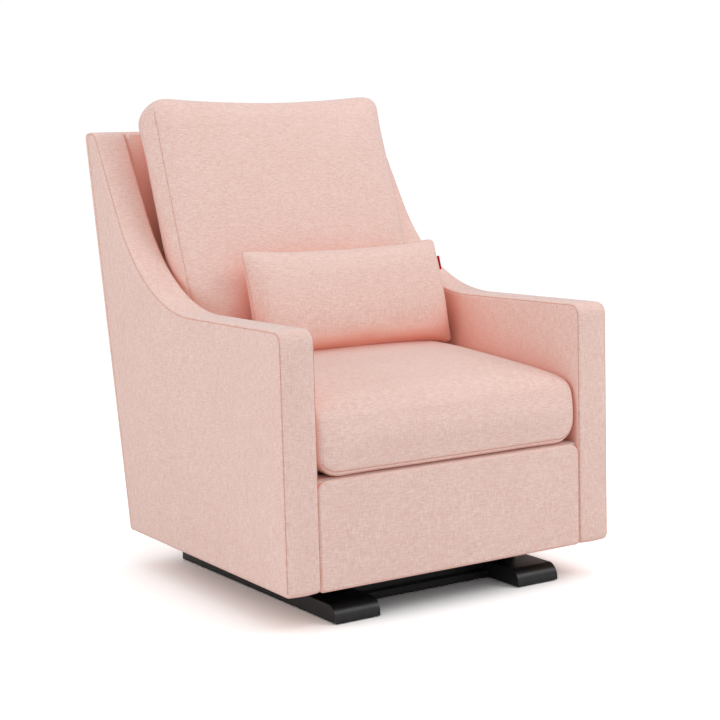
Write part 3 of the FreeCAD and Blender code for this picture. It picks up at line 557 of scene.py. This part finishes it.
def stretches(path, kept):
    """The open stretches of a closed path where it is kept."""
    first = int(np.argmin(kept))
    runs, run = [], []
    for point, keep in zip(np.roll(path, -first, axis=0), np.roll(kept, -first)):
        if keep:
            run.append(point)
        elif run:
            runs.append(np.array(run))
            run = []
    return [part for part in runs + [np.array(run)] if len(part) > 8]


# ---------------------------------------------------------------- Arms
def arm_outline():
    """Side outline of an arm and its wing in (depth, height), run anticlockwise."""
    return rounded([(0, BODY_BASE, 0.008), (BACK_FOOT, BODY_BASE, 0.010), (0.8366, WING_HEIGHT, 0.016),
                    (WING_FRONT, WING_HEIGHT, 0.028), (*ARM_BEND, -1), (0, ARM_HEIGHT, 0.022)])


def sweep_in(outline):
    """Turn the sharp bend where the arm meets the wing into its long concave sweep."""
    radius, slope = 0.385, math.radians(58.7)
    reach = radius * math.tan(slope / 2)
    bend = np.array(ARM_BEND)
    index = int(np.argmin(np.linalg.norm(outline - bend, axis=1)))
    centre = np.array((bend[0] - reach, bend[1] + radius))
    angles = np.linspace(slope, 0, 60)
    arc = centre + radius * np.column_stack([np.sin(angles), -np.cos(angles)])
    return np.vstack([outline[:index], arc, outline[index + 1:]])


def make_arms(materials):
    outline = sweep_in(arm_outline())
    for side, sign in SIDES:
        def place(depth, height, out, sign=sign):
            lean_in = depth * TOE
            x = HALF_WIDTH - ARM_WIDTH / 2 - lean_in + out
            return np.column_stack([sign * x, FRONT + depth, height])
        mesh, seams = slab_mesh("arm_" + side, outline, ARM_WIDTH, 0.007, place, crown=(0.0025, 0.001))
        layers = ["arm_%s_%s" % (layer, side) for layer in ("outer_pad", "boxing", "inner_pad")]
        arm = add_piece("arm_cover_" + side, mesh, materials["blush"], stands_for=layers)
        for where, path in zip(("outer", "inner"), seams):
            rear = BACK_FOOT + (path[:, 2] - BODY_BASE) * TOE * 9.06 - 0.012
            kept = (path[:, 2] > BODY_BASE + 0.004) & ((path[:, 1] - FRONT < rear) | (path[:, 2] > 0.912))
            for part in stretches(path, kept):
                seam_line("arm_seam_%s_%s" % (where, side), part, materials["seam"], 0.00055, closed=False)


# ---------------------------------------------------------------- Fixed panels
def make_deck_band(half, materials):
    """The cover cloth turned over the front edge of the deck, under the cushion."""
    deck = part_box("seat_deck")
    front, top = deck[0].y, deck[1].z
    outer = [(front + 0.0005, 0.256), (front - 0.0006, 0.258), (front - 0.0006, top - 0.003),
             (front + 0.0004, top - 0.0006), (front + 0.003, top + 0.0003), (front + 0.06, top + 0.0003),
             (front + 0.0605, top - 0.0006)]
    inner = [(front + 0.004, top - 0.002), (front + 0.002, top - 0.004), (front + 0.001, top - 0.008)]
    section = np.array(outer + inner)
    mesh = bpy.data.meshes.new("deck_band")
    ends = np.linspace(-half + 0.0003, half - 0.0003, 61)
    count = len(section)
    spots = [(x, y, z) for x in ends for y, z in section]
    faces = [tuple(range(count)), tuple(range((len(ends) - 1) * count, len(ends) * count))[::-1]]
    for row in range(len(ends) - 1):
        for index in range(count):
            after = (index + 1) % count
            faces.append((row * count + index, (row + 1) * count + index, (row + 1) * count + after,
                          row * count + after))
    mesh.from_pydata(spots, [], faces)
    mesh.update()
    add_piece("deck_band", mesh, materials["blush"])


def make_panels(materials):
    """The apron under the seat, the inside back and the outside back."""
    half = HALF_WIDTH - ARM_WIDTH - 0.0001
    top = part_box("apron_pad_front")[1].z + 0.003
    outline = rounded([(-half, BODY_BASE, 0.004), (half, BODY_BASE, 0.004), (half, top, 0.020),
                       (-half, top, 0.020)])
    thick = 0.013
    mesh, seams = slab_mesh("apron", outline, thick, 0.0032,
                            lambda x, z, out: np.column_stack([x, FRONT + 0.0015 + thick / 2 - out, z]),
                            crown=(0.001, 0.0))
    add_piece("apron", mesh, materials["blush"], stands_for=["apron_pad_front"])
    make_deck_band(half, materials)

    low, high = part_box("inside_back_pad")
    half = high.x - 0.001
    rise = (high.z - low.z) / math.cos(BACK_LEAN)
    thick = 0.020
    outline = rounded([(-half, 0, 0.004), (half, 0, 0.004), (half, rise - 0.004, 0.012),
                       (-half, rise - 0.004, 0.012)])

    def inside(x, up, out):
        y = low.y + thick / 2 / math.cos(BACK_LEAN) + up * math.sin(BACK_LEAN) - out * math.cos(BACK_LEAN)
        return np.column_stack([x, y, low.z + up * math.cos(BACK_LEAN) + out * math.sin(BACK_LEAN)])
    mesh, seams = slab_mesh("inside_back", outline, thick, 0.006, inside, crown=(0.003, 0.0))
    add_piece("inside_back", mesh, materials["blush"], stands_for=["inside_back_pad"])

    low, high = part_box("outside_back")
    half = high.x
    lean = math.atan2(high.y - low.y - 0.008, high.z - low.z)
    rise = (high.z - low.z) / math.cos(lean)
    thick = 0.0085
    outline = rounded([(-half, 0, 0.006), (half, 0, 0.006), (half, rise, 0.008), (-half, rise, 0.008)])

    def outside(x, up, out):
        y = low.y + 0.0045 + up * math.sin(lean) + out * math.cos(lean)
        return np.column_stack([x, y, low.z + up * math.cos(lean) - out * math.sin(lean)])
    mesh, seams = slab_mesh("outside_back", outline, thick, 0.004, outside, crown=(0.0015, 0.0))
    cover = add_piece("outside_back_cover", mesh, materials["blush"], stands_for=["outside_back"])
    seam_line("outside_back_seam", seams[0], materials["seam"])


# ---------------------------------------------------------------- Loose cushions
def inflate(piece, voxel, cap, hold, pressure=4.0, frames=20):
    """Let the air into a cushion: pressurised cloth over an even remesh, each point's move capped."""
    scene = bpy.context.scene
    bpy.context.view_layer.objects.active = piece
    remesh = piece.modifiers.new("even", "REMESH")
    remesh.mode = "VOXEL"
    remesh.voxel_size = voxel
    bpy.ops.object.modifier_apply(modifier=remesh.name)
    start = mesh_points(piece.data)
    cloth = piece.modifiers.new("air", "CLOTH")
    settings = cloth.settings
    settings.use_pressure = True
    settings.uniform_pressure_force = pressure
    settings.effector_weights.gravity = 0
    settings.tension_stiffness = 12
    settings.bending_stiffness = 0.6
    settings.quality = 4
    cloth.point_cache.frame_end = frames
    for number in range(1, frames + 1):
        scene.frame_set(number)
    swollen = mesh_points(piece.evaluated_get(bpy.context.evaluated_depsgraph_get()).data)
    piece.modifiers.remove(cloth)
    scene.frame_set(1)
    move = swollen - start
    length = np.linalg.norm(move, axis=1)
    move *= (np.minimum(length, cap) / np.maximum(length, 1e-9))[:, None]
    start = start + even_out(piece.data, move, 14)
    set_points(piece.data, hold(start))
    smooth = piece.modifiers.new("soften", "SMOOTH")
    smooth.factor = 0.5
    smooth.iterations = 3
    bpy.ops.object.modifier_apply(modifier=smooth.name)
    finer = piece.modifiers.new("finer", "SUBSURF")
    finer.levels = 1
    bpy.ops.object.modifier_apply(modifier=finer.name)
    for polygon in piece.data.polygons:
        polygon.use_smooth = True
    return piece


def even_out(mesh, values, rounds):
    """Average a value at each point with its neighbours' a few times."""
    edges = np.empty(len(mesh.edges) * 2, np.int64)
    mesh.edges.foreach_get("vertices", edges)
    first, second = edges.reshape(-1, 2).T
    count = np.bincount(first, minlength=len(values)) + np.bincount(second, minlength=len(values))
    for _ in range(rounds):
        total = np.zeros_like(values)
        np.add.at(total, first, values[second])
        np.add.at(total, second, values[first])
        values = values * 0.4 + 0.6 * total / np.maximum(count, 1)[:, None]
    return values


def mesh_points(mesh):
    points = np.empty(len(mesh.vertices) * 3, np.float64)
    mesh.vertices.foreach_get("co", points)
    return points.reshape(-1, 3)


def set_points(mesh, points):
    mesh.vertices.foreach_set("co", points.ravel())
    mesh.update()


def loose(name, mesh, materials, stands_for):
    piece = add_piece(name, mesh, materials["blush"], stands_for=stands_for)
    bpy.context.view_layer.objects.active = piece
    piece.select_set(True)
    return piece


def on_surface(piece, path, lift=0.0):
    """Press a path onto a cushion, so that its seam lies on the finished cloth."""
    tree = BVHTree.FromObject(piece, bpy.context.evaluated_depsgraph_get())
    result = []
    for point in path:
        spot, normal, _, _ = tree.find_nearest(Vector(point))
        result.append(spot + normal * lift)
    return np.array([tuple(spot) for spot in result])


def press_seam(piece, path, width, depth):
    """Draw the cloth in along a seam."""
    points = mesh_points(piece.data)
    path = np.asarray(path)
    near = np.full(len(points), 1.0)
    for start in range(0, len(points), 20000):
        block = points[start:start + 20000]
        close = np.full(len(block), 1.0)
        for first in range(0, len(path), 200):
            gap = np.linalg.norm(block[:, None] - path[None, first:first + 200], axis=2).min(1)
            close = np.minimum(close, gap)
        near[start:start + 20000] = close
    normals = np.empty(len(points) * 3)
    piece.data.vertices.foreach_get("normal", normals)
    pull = depth * np.exp(-(near / width) ** 2)
    set_points(piece.data, points - normals.reshape(-1, 3) * pull[:, None])


def seat_limit(depth):
    """How far across the seat cushion reaches at a depth, just inside the arms."""
    return HALF_WIDTH - ARM_WIDTH - 0.0008 - depth * TOE


def make_seat_cushion(materials):
    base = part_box("seat_cushion")[0].z
    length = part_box("seat_cushion")[1].y - FRONT
    top = ((0.011, 0.397), (0.035, 0.4075), (0.082, 0.4175), (0.14, 0.4255), (0.25, 0.4360), (0.36, 0.4435),
           (0.46, 0.4465), (0.58, 0.445), (length - 0.02, 0.439))
    underside = [(0.009, base - 0.003), (0.018, base), (0.30, base), (length - 0.012, base)]
    rear = [(length, base + 0.015), (length, 0.425)]
    nose = [(0.0045, 0.375), (0.002, 0.345), (0.0022, base + 0.02), (0.0035, base + 0.002)]
    section = underside + rear + list(top[::-1]) + nose
    section = spaced(smooth_loop(section, 3), 0.010)
    normals = outward(section)
    half_rows = np.concatenate([[0, 0.001, 0.003, 0.006, 0.010], np.linspace(0.015, 0.3, 28)])
    shares = np.concatenate([half_rows, 0.6 - half_rows[-2::-1]])
    radius = 0.011
    mesh = bmesh.new()
    rows = []
    for across in shares:
        gap = min(across, 0.6 - across)
        short = max(radius - gap, 0)
        inset = radius - math.sqrt(max(radius ** 2 - short ** 2, 0))
        crown = 0.011 * (1 - abs(across / 0.3 - 1) ** 2.6)
        lift = 0.026 * max(0, (abs(across / 0.3 - 1) - 0.86) / 0.14) ** 2
        ring = section - normals * inset
        on_top = np.clip((ring[:, 1] - 0.37) / 0.05, 0, 1)
        ring[:, 1] += crown * on_top * np.clip((ring[:, 0] - 0.01) / 0.2, 0, 1)
        ring[:, 1] += lift * np.clip((0.335 - ring[:, 1]) / (0.335 - base), 0, 1)
        ring[:, 0] -= 0.003 * (1 - (across / 0.3 - 1) ** 4) * np.clip((0.03 - ring[:, 0]) / 0.03, 0, 1)
        x = (across / 0.3 - 1) * np.array([seat_limit(depth) for depth in ring[:, 0]])
        rows.append([mesh.verts.new((a, FRONT + b, c)) for a, (b, c) in zip(x, ring)])
    for first, second in zip(rows[:-1], rows[1:]):
        for index in range(len(first)):
            after = (index + 1) % len(first)
            mesh.faces.new((first[index], first[after], second[after], second[index]))
    mesh.faces.new(rows[0])
    mesh.faces.new(rows[-1][::-1])
    bmesh.ops.recalc_face_normals(mesh, faces=mesh.faces)
    data = bpy.data.meshes.new("seat_cushion_cover")
    mesh.to_mesh(data)
    mesh.free()
    piece = loose("seat_cushion_cover", data, materials, ["seat_cushion"])

    def hold(points):
        depth = points[:, 1] - FRONT
        limit = np.array([seat_limit(d) for d in depth])
        points[:, 0] = np.clip(points[:, 0], -limit, limit)
        points[:, 1] = np.clip(points[:, 1], FRONT - 0.003, FRONT + length)
        points[:, 2] = np.maximum(points[:, 2], base - 0.003 * np.clip((0.018 - depth) / 0.006, 0, 1))
        return points
    inflate(piece, 0.006, 0.006, hold, pressure=2.5)
    limit = seat_limit(0)
    rail = [(x, FRONT + 0.002, base + 0.0095 + 0.024 * max(0, (abs(x) / limit - 0.86) / 0.14) ** 2)
            for x in np.linspace(-limit + 0.006, limit - 0.006, 180)]
    path = on_surface(piece, rail)
    press_seam(piece, path, 0.003, 0.0014)
    seam_line("seat_cushion_seam", on_surface(piece, path, 0.0002), materials["seam"], closed=False)


def smooth_loop(points, rounds):
    """Soften a closed loop by cutting its corners a few times."""
    points = np.asarray(points, float)
    for _ in range(rounds):
        after = np.roll(points, -1, axis=0)
        points = np.stack([points * 0.75 + after * 0.25, points * 0.25 + after * 0.75], axis=1).reshape(-1, 2)
    return points


def back_place(x, up, out):
    """From the back cushion's own plane: across, up the lean from its foot, and out to the front."""
    y = FRONT + BACK_CUSHION_FOOT[0] + up * math.sin(BACK_CUSHION_PITCH) - out * math.cos(BACK_CUSHION_PITCH)
    z = BACK_CUSHION_FOOT[1] + up * math.cos(BACK_CUSHION_PITCH) + out * math.sin(BACK_CUSHION_PITCH)
    return np.column_stack([x, y + BACK_CUSHION_SET, z])


def make_back_cushion(materials):
    half, rise, thick = 0.278, 0.556, 0.088
    outline = rounded([(-half, 0.004, 0.035), (half + 0.006, 0.004, 0.035),
                       (half + 0.006, rise - 0.002, 0.026), (-half - 0.006, rise, 0.040)])
    outline = spaced(outline, 0.006)
    dip = 0.007 * np.cos(outline[:, 0] / half * math.pi / 2) ** 2
    outline[:, 1] -= np.where(outline[:, 1] > rise * 0.8, dip, 0)
    outline[:, 0] *= 1 + 0.012 * np.sin(np.clip(outline[:, 1] / rise, 0, 1) * math.pi)
    mesh, seams = slab_mesh("back_cushion_cover", outline, thick, 0.012, back_place, crown=(0.030, 0.045),
                            strip_crown=0.010, dome=0.085, uneven=0.002)
    piece = loose("back_cushion_cover", mesh, materials, ["back_cushion"])

    def hold(points):
        depth = points[:, 1] - FRONT
        limit = HALF_WIDTH - ARM_WIDTH - 0.001 - depth * TOE + np.clip((points[:, 2] - 0.90) * 0.5, 0, 0.012)
        points[:, 0] = np.clip(points[:, 0], -limit, limit)
        points[:, 2] = np.maximum(points[:, 2], 0.4475)
        back = WING_FRONT - (WING_HEIGHT - points[:, 2]) * math.tan(BACK_LEAN) - 0.001
        points[:, 1] = np.minimum(points[:, 1], FRONT + back)
        return points
    inflate(piece, 0.006, 0.009, hold, pressure=2.5)
    for where, path in zip(("front", "rear"), seams):
        kept = (np.abs(path[:, 0]) > 0.255) & (path[:, 2] < 0.962) & (path[:, 2] > 0.47)
        for side, part in enumerate(stretches(path, kept)):
            part = on_surface(piece, part)
            press_seam(piece, part, 0.0035, 0.0016)
            seam_line("back_cushion_seam_%s_%d" % (where, side), on_surface(piece, part, 0.0002),
                      materials["seam"], 0.00055, closed=False)


def pillow_place(x, up, out):
    """From the pillow's own plane: across from its middle, up its lean from its bottom seam, and out."""
    y = FRONT + PILLOW_FOOT[0] + up * math.sin(PILLOW_PITCH) - out * math.cos(PILLOW_PITCH)
    z = PILLOW_FOOT[1] + up * math.cos(PILLOW_PITCH) + out * math.sin(PILLOW_PITCH)
    return np.column_stack([x + PILLOW_OFFSET, y, z])


def make_pillow(materials):
    half, rise, thick = 0.2405, 0.231, 0.112
    outline = spaced(rounded([(-half, -0.001, 0.010), (half, -0.001, 0.010), (half, rise, 0.010),
                              (-half, rise, 0.010)]), 0.005)
    along = np.abs(outline[:, 0]) / half
    up = np.abs(outline[:, 1] / rise * 2 - 1)
    pinch = 0.006 * (1 - along ** 2)
    lower = np.where(outline[:, 1] < rise * 0.1, pinch * 0.6, 0)
    outline[:, 1] += np.where(outline[:, 1] > rise * 0.9, -pinch, lower)
    outline[:, 0] *= 1 - 0.014 * (1 - up ** 2)
    seam = outline
    low, high = outline.min(0), outline.max(0)
    across, height = np.meshgrid(np.arange(low[0], high[0], 0.008), np.arange(low[1], high[1], 0.008))
    rings = [outline - outward(outline) * inset for inset in (0.0025, 0.006, 0.011)]
    inner = np.column_stack([across.ravel(), height.ravel()])
    kept = cut_points(outline, np.vstack([np.vstack(rings), inner]), 0.005)
    count = len(seam)
    points, _, faces, _, _, _ = geometry.delaunay_2d_cdt(
        [Vector(point) for point in np.vstack([seam, kept])],
        [(index, (index + 1) % count) for index in range(count)], [], 1, 1e-6)
    points = np.array([(point.x, point.y) for point in points])
    distance = edge_distance(points, outline)
    u = np.clip(np.abs(points[:, 0]) / half, 0, 1)
    v = np.clip(np.abs(points[:, 1] / rise * 2 - 1), 0, 1)
    body = ((1 - u ** 5) * (1 - v ** 2.2)) ** 0.5
    edge = np.clip(distance / 0.03, 0, 1) ** 0.6
    out = (thick / 2 - 0.003) * np.minimum(body, 1) * (0.35 + 0.65 * edge) * (distance > 1e-5) + 0.0024
    mesh = bmesh.new()
    for way in (1, -1):
        verts = [mesh.verts.new(spot) for spot in pillow_place(points[:, 0], points[:, 1], out * way)]
        for face in faces:
            corners = [verts[index] for index in face]
            mesh.faces.new(corners if way > 0 else corners[::-1])
    bmesh.ops.bridge_loops(mesh, edges=[edge for edge in mesh.edges if edge.is_boundary])
    bmesh.ops.recalc_face_normals(mesh, faces=mesh.faces)
    data = bpy.data.meshes.new("lumbar_pillow_cover")
    mesh.to_mesh(data)
    mesh.free()
    piece = loose("lumbar_pillow_cover", data, materials, ["lumbar_pillow"])

    def hold(points):
        points[:, 2] = np.maximum(points[:, 2], 0.4478)
        return points
    inflate(piece, 0.004, 0.006, hold, pressure=3.0)
    ring = pillow_place(seam[:, 0], seam[:, 1], np.zeros(count))
    path = on_surface(piece, ring)
    seam_line("lumbar_pillow_seam", on_surface(piece, path, 0.0), materials["seam"], 0.0007)


# ---------------------------------------------------------------- Put together
materials = make_materials()
aim_camera()
lay_floor()
light_room()
finish_nodes(materials)
make_arms(materials)
make_panels(materials)
make_seat_cushion(materials)
make_back_cushion(materials)
make_pillow(materials)
